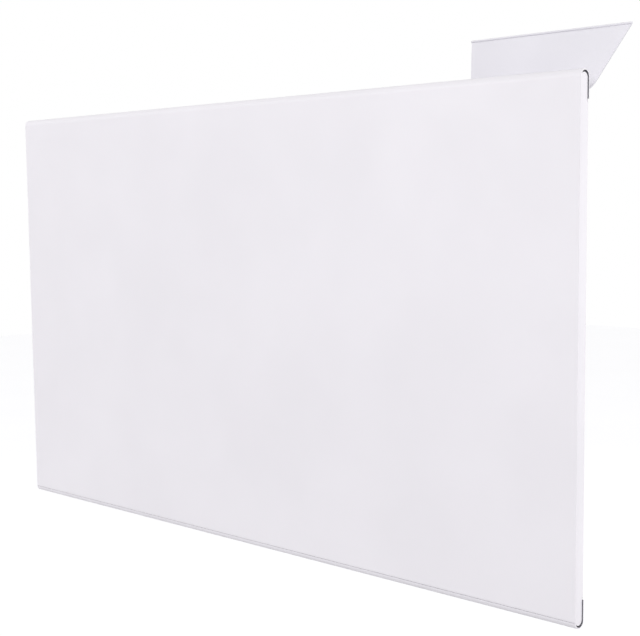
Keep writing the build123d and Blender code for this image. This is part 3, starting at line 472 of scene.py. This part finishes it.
def smoked_glass(name, colour):
    """Dark clear plastic with a polished face."""
    material, shader, place = blank_finish(name)
    shader.inputs["Transmission Weight"].default_value = 1.0
    shader.inputs["IOR"].default_value = lens_index
    clouds = grain(place, lens_cloud)
    mottle(clouds, shader.inputs["Base Color"], linear(darker(colour, lens_shade)), linear(colour))
    gloss(grain(place, lens_patch), shader, lens_gloss)
    return material


def glowing(name, colour, strength):
    """A surface lit from behind, a little uneven as light through plastic is."""
    material, shader, place = blank_finish(name)
    uneven = grain(place, glow_grain)
    deep, mid, near = (linear(darker(colour, steps)) for steps in glow_shades)
    mottle(uneven, shader.inputs["Base Color"], deep, mid)
    mottle(uneven, shader.inputs["Emission Color"], near, linear(colour))
    shader.inputs["Emission Strength"].default_value = strength
    gloss(grain(place, glow_patch), shader, moulding_gloss)
    return material


def segment(middle, length, turn):
    """One segment of a digit, pointed at both ends."""
    bpy.ops.mesh.primitive_plane_add(size=1.0)
    piece = bpy.context.object
    piece.scale = (length, segment_width, 1.0)
    place_in_mesh(piece)
    bpy.ops.object.mode_set(mode="EDIT")
    bpy.ops.mesh.select_all(action="SELECT")
    bpy.ops.mesh.bevel(offset=segment_width * segment_point_share, affect="VERTICES")
    bpy.ops.object.mode_set(mode="OBJECT")
    piece.rotation_euler = (0.0, 0.0, turn)
    piece.location = (*middle, 0.0)
    return place_in_mesh(piece)


dress(smoked_glass("smoked_window", lens_smoke), "display_lens")
dress(moulded("display_module_black", module_black), "display_module")
low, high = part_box("display_module")
module_top = ((low[0] + high[0]) / 2, (low[1] + high[1]) / 2, high[2])
across = digit_width - segment_width
half_up = (digit_height - segment_width) / 2
segments = []
for shift in half_steps:
    x = shift * digit_pitch + digit_offset
    for level in (-1, 0, 1):
        segments.append(segment((x, level * half_up), across - segment_gap, 0.0))
    for side in (-1, 1):
        for level in half_steps:
            middle = (x + side * across / 2, level * half_up)
            segments.append(segment(middle, half_up - segment_gap, math.pi / 2))
digit_light = glowing("digit_light", digit_blue, digit_strength)
digits = joined("display_digits", segments)
applied(digits, "SOLIDIFY", thickness=segment_rise, offset=1.0)
digits.location = module_top
place_in_mesh(digits)
digits.data.materials.append(digit_light)
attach(digits, "heater")

# Indicator lights
# Six small clear windows in a row behind the display, five lit blue and one dark, each with a tiny grey
# symbol printed behind it.
light_blue = (44, 38, 200)
light_strength = 0.6
light_grain = 0.0008
light_shades = (30, 20)
dark_light_x = 0.2831
light_pitch = 0.0102
light_first_x = 0.2933
symbol_grey = (70, 68, 78)
symbol_y = -0.0249
symbol_line = 0.0004
symbol_reach = 0.00165
clock_hand_shares = (0.25, 0.6)
padlock_body_shares = (0.4, 1.4)
padlock_shackle_shares = (0.1, 0.6)
blade_count = 3
blade_share = 0.55
bench_seat_share = 0.3
bench_leg_shares = (0.6, 0.3, 1.2)
drop_shares = (0.2, 0.8)
drop_tip_shares = (0.8, 0.6)
frame_shares = (0.6, 1.4)


def light_window(name, colour, strength):
    """Clear windows lit from below, except the one whose lamp is off."""
    material, shader, place = blank_finish(name)
    tree = place.id_data
    uneven = grain(place, light_grain)
    deep, near = (linear(darker(colour, steps)) for steps in light_shades)
    mottle(uneven, shader.inputs["Base Color"], deep, linear(colour))
    mottle(uneven, shader.inputs["Emission Color"], near, linear(colour))
    axes = tree.nodes.new("ShaderNodeSeparateXYZ")
    beside = tree.nodes.new("ShaderNodeMath")
    beside.operation = "COMPARE"
    beside.inputs[1].default_value = dark_light_x
    beside.inputs[2].default_value = light_pitch / 4
    lit = tree.nodes.new("ShaderNodeMapRange")
    lit.inputs["To Min"].default_value = strength
    lit.inputs["To Max"].default_value = 0.0
    tree.links.new(place, axes.inputs["Vector"])
    tree.links.new(axes.outputs["X"], beside.inputs[0])
    tree.links.new(beside.outputs["Value"], lit.inputs["Value"])
    tree.links.new(lit.outputs["Result"], shader.inputs["Emission Strength"])
    gloss(grain(place, glow_patch), shader, lens_gloss)
    return material


def clock_symbol():
    middle, length = (symbol_reach * share for share in clock_hand_shares)
    return [ring((0.0, 0.0), symbol_reach, symbol_line), bar((middle, 0.0), length, symbol_line)]


def padlock_symbol():
    drop, length = (symbol_reach * share for share in padlock_body_shares)
    rise, radius = (symbol_reach * share for share in padlock_shackle_shares)
    return [bar((0.0, -drop), length, symbol_reach), ring((0.0, rise), radius, symbol_line, 0.0, math.pi)]


def fan_symbol():
    blades = []
    reach = symbol_reach * blade_share
    for index in range(blade_count):
        angle = math.tau * index / blade_count
        middle = (math.cos(angle) * reach, math.sin(angle) * reach)
        blades.append(bar(middle, symbol_reach, symbol_line, angle))
    return blades


def bench_symbol():
    apart, drop, length = (symbol_reach * share for share in bench_leg_shares)
    return [
        bar((0.0, symbol_reach * bench_seat_share), symbol_reach * 2, symbol_line),
        bar((-apart, -drop), symbol_line, length),
        bar((apart, -drop), symbol_line, length),
    ]


def drop_symbol():
    drop, radius = (symbol_reach * share for share in drop_shares)
    rise, length = (symbol_reach * share for share in drop_tip_shares)
    return [ring((0.0, -drop), radius, symbol_line), bar((0.0, rise), symbol_line, length)]


def frame_symbol():
    edges = []
    rise, height = (symbol_reach * share for share in frame_shares)
    for side in (-1, 1):
        edges.append(bar((0.0, side * rise), symbol_reach * 2, symbol_line))
        edges.append(bar((side * symbol_reach, 0.0), symbol_line, height))
    return edges


dress(light_window("light_windows", light_blue, light_strength), "led_light_pipes", "indicator_leds")
symbol_ink = matt_ink("grey_print", symbol_grey)
fascia_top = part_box("control_fascia")[1][2]
symbols = (clock_symbol, padlock_symbol, fan_symbol, bench_symbol, drop_symbol, frame_symbol)
for index, symbol in enumerate(symbols):
    spot = (light_first_x - index * light_pitch, symbol_y, fascia_top)
    printed(f"symbol_{index + 1}", symbol(), spot, symbol_ink, "heater")

# Flap
# A steel lid over the deck, bent along its rear edge, with a thin hem along its free edge. It is coated like
# the panel in a white painted a little darker as shade, and turns on two pins in plated brackets that stand
# on a folded tray.
# Darker than the panel's white: painted shade, as the flap stands in less light.
flap_shaded_white = (232, 230, 236)
hinge_zinc = (186, 187, 190)
along_hinge = (1, 1, 6)

dress(powder_coat("flap_coat_shaded", flap_shaded_white), "flap_lid")
hinge_plating = plated("plated_hinges", hinge_zinc, along_hinge)
dress(hinge_plating, "hinge_bracket_near", "hinge_bracket_far", "hinge_pins")

# Switch
# A mains rocker in the flat back of a moulded pocket in the slanted end. The paddle is warm white with a
# hollow face, pressed in at its upper half, and carries a black ring above and a black bar below.
pocket_white = (234, 231, 238)
housing_white = (240, 237, 234)
paddle_cream = (252, 244, 238)
paddle_face = (0.0060, 0.00478, 0.0042)
paddle_steps = (0.0122, 0.0064, 0.0)
paddle_shoulder = (0.0022, 0.0126)
paddle_belly = ((-0.0013, 0.0061), (-0.0026, 0.0))
paddle_width = 0.0099
paddle_edge = 0.0005
paddle_edge_steps = 3
sharp_angle = math.radians(30.0)
smooth_angle = math.radians(35.0)
seed_size = 0.001
paddle_tilt = math.radians(-9.0)
rocker_ring = 0.0026
rocker_line = 0.0006
rocker_bar = 0.0050
ring_share = 0.68
bar_share = 0.57

dress(moulded("pocket_plastic", pocket_white), "switch_pocket")
dress(moulded("switch_plastic", housing_white), "rocker_housing")
pivot = Vector(next(joint for joint in frame["joints"] if joint["name"] == "rocker_pivot")["pos_m"])


def drawn(points):
    """A flat face whose outline is drawn a step at a time through these points."""
    bpy.ops.mesh.primitive_plane_add(size=seed_size, location=points[0])
    bpy.ops.object.mode_set(mode="EDIT")
    bpy.ops.mesh.select_mode(type="VERT")
    bpy.ops.mesh.select_all(action="SELECT")
    bpy.ops.mesh.merge(type="CENTER")
    for start, end in zip(points, points[1:]):
        bpy.ops.mesh.extrude_region_move(TRANSFORM_OT_translate={"value": Vector(end) - Vector(start)})
    bpy.ops.mesh.select_all(action="SELECT")
    bpy.ops.mesh.edge_face_add()
    bpy.ops.object.mode_set(mode="OBJECT")
    return place_in_mesh(bpy.context.object)


def thickened(piece, step):
    """The drawn face drawn out along a step into a closed solid."""
    bpy.ops.object.mode_set(mode="EDIT")
    bpy.ops.mesh.select_all(action="SELECT")
    bpy.ops.mesh.extrude_region_move(TRANSFORM_OT_translate={"value": step})
    bpy.ops.mesh.select_all(action="SELECT")
    bpy.ops.mesh.normals_make_consistent(inside=False)
    bpy.ops.object.mode_set(mode="OBJECT")
    return piece


upper = list(zip(paddle_face, paddle_steps))
lower = [(x, -z) for x, z in reversed(upper[:-1])]
belly = [(paddle_shoulder[0], -paddle_shoulder[1])]
belly += [(paddle_belly[0][0], -paddle_belly[0][1]), paddle_belly[1], paddle_belly[0], paddle_shoulder]
outline = [(x, -paddle_width / 2, z) for x, z in upper + lower + belly]
paddle = thickened(drawn(outline), Vector((0.0, paddle_width, 0.0)))
paddle.name = "rocker_key"
edge = {"width": paddle_edge, "segments": paddle_edge_steps}
applied(paddle, "BEVEL", limit_method="ANGLE", angle_limit=sharp_angle, **edge)
paddle.location = pivot
paddle.rotation_euler = (0.0, paddle_tilt, 0.0)
place_in_mesh(paddle)
bpy.ops.object.shade_smooth_by_angle(angle=smooth_angle)
paddle.data.materials.append(moulded("paddle_plastic", paddle_cream))
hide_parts("rocker_paddle")
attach(paddle, "rocker")

# Rocker marks
# A printed ring and bar lie on the two halves of the paddle's face, turned as each half leans.
half_length = paddle_steps[0]
face_rise = paddle_face[0] - paddle_face[-1]
lean = math.atan2(face_rise, half_length)
for name, side, share, shapes in (
    ("rocker_mark_o", 1, ring_share, [ring((0.0, 0.0), rocker_ring, rocker_line)]),
    ("rocker_mark_i", -1, bar_share, [bar((0.0, 0.0), rocker_bar, rocker_line * bold_share)]),
):
    mark = joined(name, shapes)
    applied(mark, "SOLIDIFY", thickness=ink_thickness, offset=1.0)
    mark.rotation_euler = (0.0, math.pi / 2 + side * lean, 0.0)
    mark.location = (paddle_face[-1] + face_rise * share, 0.0, side * half_length * share)
    place_in_mesh(mark)
    mark.location = pivot
    mark.rotation_euler = (0.0, paddle_tilt, 0.0)
    place_in_mesh(mark)
    mark.data.materials.append(ink)
    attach(mark, "rocker")

# Heating element
# An extruded aluminium bar with fins on four arms, over a sheathed wire that runs through ceramic
# insulators. A zinc tray behind it shields the casing's back, painted dark grey as shade seen through the
# slots, and a zinc baffle closes the warm space.
fin_aluminium = (200, 201, 205)
sheath_steel = (150, 138, 128)
ceramic_white = (228, 220, 203)
ceramic_shade = 10
# A dark zinc grey painted as shade, seen through the slots.
shield_zinc_shaded = (112, 113, 118)
sheet_zinc = (182, 184, 188)
along_bar = (60, 1, 1)
along_sheet = (1, 1, 5)

dress(plated("fin_aluminium", fin_aluminium, along_bar), "heating_element")
dress(plated("sheath_steel", sheath_steel, along_bar), "element_core")
dress(moulded("ceramic", ceramic_white, ceramic_shade), "element_insulators")
dress(plated("shield_shaded", shield_zinc_shaded, along_bar), "heat_shield")
dress(
    plated("zinc_sheet", sheet_zinc, along_sheet),
    "baffle_plate",
    "element_bracket_left",
    "element_bracket_right",
    "cutout_bracket",
    "sensor_clip",
)

# Boards and what stands on them
# Two glass-fibre boards under green solder mask: the control board hangs on posts under the deck, and the
# power board stands off the casing's back. The parts are moulded in their usual colours.
mask_green = (22, 92, 52)
track_green = (38, 128, 74)
track_size = 0.0024
mask_patch = 0.003
mask_gloss = (0.25, 0.35)
brass = (214, 184, 120)
small_part_black = (30, 30, 33)
relay_blue = (34, 84, 160)
tape_yellow = (222, 190, 84)
terminal_green = (40, 130, 74)
black_shade = 8
part_shade = 10
tape_shade = 16


def solder_mask(name, mask, track):
    """Green solder mask with the copper tracks showing faintly through."""
    material, shader, place = blank_finish(name)
    tree = place.id_data
    tracks = tree.nodes.new("ShaderNodeTexVoronoi")
    tracks.distance = "MANHATTAN"
    tracks.feature = "F1"
    tracks.inputs["Scale"].default_value = 1 / track_size
    tree.links.new(place, tracks.inputs["Vector"])
    mottle(tracks.outputs["Distance"], shader.inputs["Base Color"], linear(mask), linear(track))
    gloss(grain(place, mask_patch), shader, mask_gloss)
    relief(tracks.outputs["Distance"], shader, peel_depth)
    return material


dress(solder_mask("solder_mask", mask_green, track_green), "control_board", "power_board")
black_parts = moulded("black_moulding", small_part_black, black_shade)
dress(black_parts, "tact_switches", "thermal_cutout", "room_sensor", "capacitor", "cable_gland", "gland_nut")
dress(moulded("relay_blue", relay_blue, part_shade), "relay")
dress(moulded("winding_tape", tape_yellow, tape_shade), "transformer")
dress(moulded("terminal_green", terminal_green, part_shade), "terminal_block")
dress(plated("plated_brass", brass), "rocker_terminals", "board_posts", "power_standoffs")

# Wall bracket
# Two upright steel straps with hooks, joined by two crossbars with rivets. They are coated like the casing,
# and rubber buffers keep the casing off them.
bracket_white = (232, 231, 235)
rubber_black = (34, 34, 36)
rubber_shade = 8
rubber_gloss = (0.65, 0.8)
rubber_cloud = 0.002
rubber_patch = 0.003
rubber_grain = 0.0006


def rubber(name, colour):
    """Matt black rubber with a dusty bloom."""
    material, shader, place = blank_finish(name)
    bloom = grain(place, rubber_cloud)
    mottle(bloom, shader.inputs["Base Color"], linear(darker(colour, rubber_shade)), linear(colour))
    gloss(grain(place, rubber_patch), shader, rubber_gloss)
    relief(grain(place, rubber_grain), shader, moulding_depth)
    return material


dress(
    powder_coat("bracket_coat", bracket_white),
    "bracket_upright_left",
    "bracket_upright_right",
    "bracket_crossbar_top",
    "bracket_crossbar_bottom",
)
dress(rubber("rubber_black", rubber_black), "rubber_buffers")

# Camera
# It stands where the large picture was taken from, drawn in a little so that the open flap is in the frame.
camera_place = Vector((0.9055, -0.868, 0.109))
camera_look = Vector((-0.71852, 0.68694, -0.10884)).normalized()
camera_up = Vector((-0.07061, 0.08364, 0.99399))
photo_lens = 85.0
drawn_in = 0.895
camera_shift = (0.024, 0.0525)
film_width = 36.0

camera_data = bpy.data.cameras.new("camera")
camera_data.lens = photo_lens * drawn_in
camera_data.sensor_width = film_width
camera_data.shift_x, camera_data.shift_y = camera_shift
camera = bpy.data.objects.new("camera", camera_data)
bpy.context.scene.collection.objects.link(camera)
camera_right = camera_look.cross(camera_up).normalized()
camera_up = camera_right.cross(camera_look)
turned = Matrix((camera_right, camera_up, -camera_look)).transposed().to_4x4()
camera.matrix_world = Matrix.Translation(camera_place) @ turned
bpy.context.scene.camera = camera

# Room
# A pale floor well below the hanging heater, white all round for the camera, soft daylight from every side
# and three large soft lamps that give the edges their shading.
floor_z = -0.75
floor_size = 14.0
floor_pale = (192, 192, 195)
floor_cloud = 0.3
floor_shade = 2
floor_roughness = 0.9
floor_lift = 0.6
day_strength = 0.61
lamp_size = 2.4
lamps = (
    ("lamp_front", (-2.55, -4.25, 1.3), 76.0),
    ("lamp_right", (4.4, -2.2, 1.4), 79.0),
    ("lamp_side", (3.2, 2.6, 0.9), 37.0),
)


def seen_directly(tree):
    """1 for what the camera sees, straight on, reflected or through glass, and 0 for light on things."""
    path = tree.nodes.new("ShaderNodeLightPath")
    seen = path.outputs["Is Camera Ray"]
    for way in ("Is Glossy Ray", "Is Transmission Ray"):
        either = tree.nodes.new("ShaderNodeMath")
        either.operation = "MAXIMUM"
        tree.links.new(seen, either.inputs[0])
        tree.links.new(path.outputs[way], either.inputs[1])
        seen = either.outputs["Value"]
    return seen


bpy.ops.mesh.primitive_plane_add(size=floor_size, location=(0.0, 0.0, floor_z))
floor = place_in_mesh(bpy.context.object)
floor.name = "floor"
floor_finish, floor_shader, floor_place = blank_finish("floor_pale")
floor_low = linear(darker(floor_pale, floor_shade))
mottle(grain(floor_place, floor_cloud), floor_shader.inputs["Base Color"], floor_low, linear(floor_pale))
floor_shader.inputs["Roughness"].default_value = floor_roughness
floor_shader.inputs["Emission Color"].default_value = (1.0, 1.0, 1.0, 1.0)
floor_tree = floor_place.id_data
floor_light = floor_tree.nodes.new("ShaderNodeMapRange")
floor_light.inputs["To Max"].default_value = floor_lift
floor_tree.links.new(seen_directly(floor_tree), floor_light.inputs["Value"])
floor_tree.links.new(floor_light.outputs["Result"], floor_shader.inputs["Emission Strength"])
floor.data.materials.append(floor_finish)

world = bpy.data.worlds.new("daylight")
bpy.context.scene.world = world
world.use_nodes = True
sky = world.node_tree.nodes["Background"]
sky.inputs["Color"].default_value = (1.0, 1.0, 1.0, 1.0)
sky_light = world.node_tree.nodes.new("ShaderNodeMapRange")
sky_light.inputs["To Min"].default_value = day_strength
sky_light.inputs["To Max"].default_value = 1.0
world.node_tree.links.new(seen_directly(world.node_tree), sky_light.inputs["Value"])
world.node_tree.links.new(sky_light.outputs["Result"], sky.inputs["Strength"])

for name, spot, power in lamps:
    light = bpy.data.lights.new(name, "AREA")
    light.size = lamp_size
    light.energy = power
    lamp = bpy.data.objects.new(name, light)
    bpy.context.scene.collection.objects.link(lamp)
    lamp.location = spot
    lamp.rotation_euler = (-Vector(spot)).to_track_quat("-Z", "Y").to_euler()

bpy.context.scene.view_settings.view_transform = "Standard"
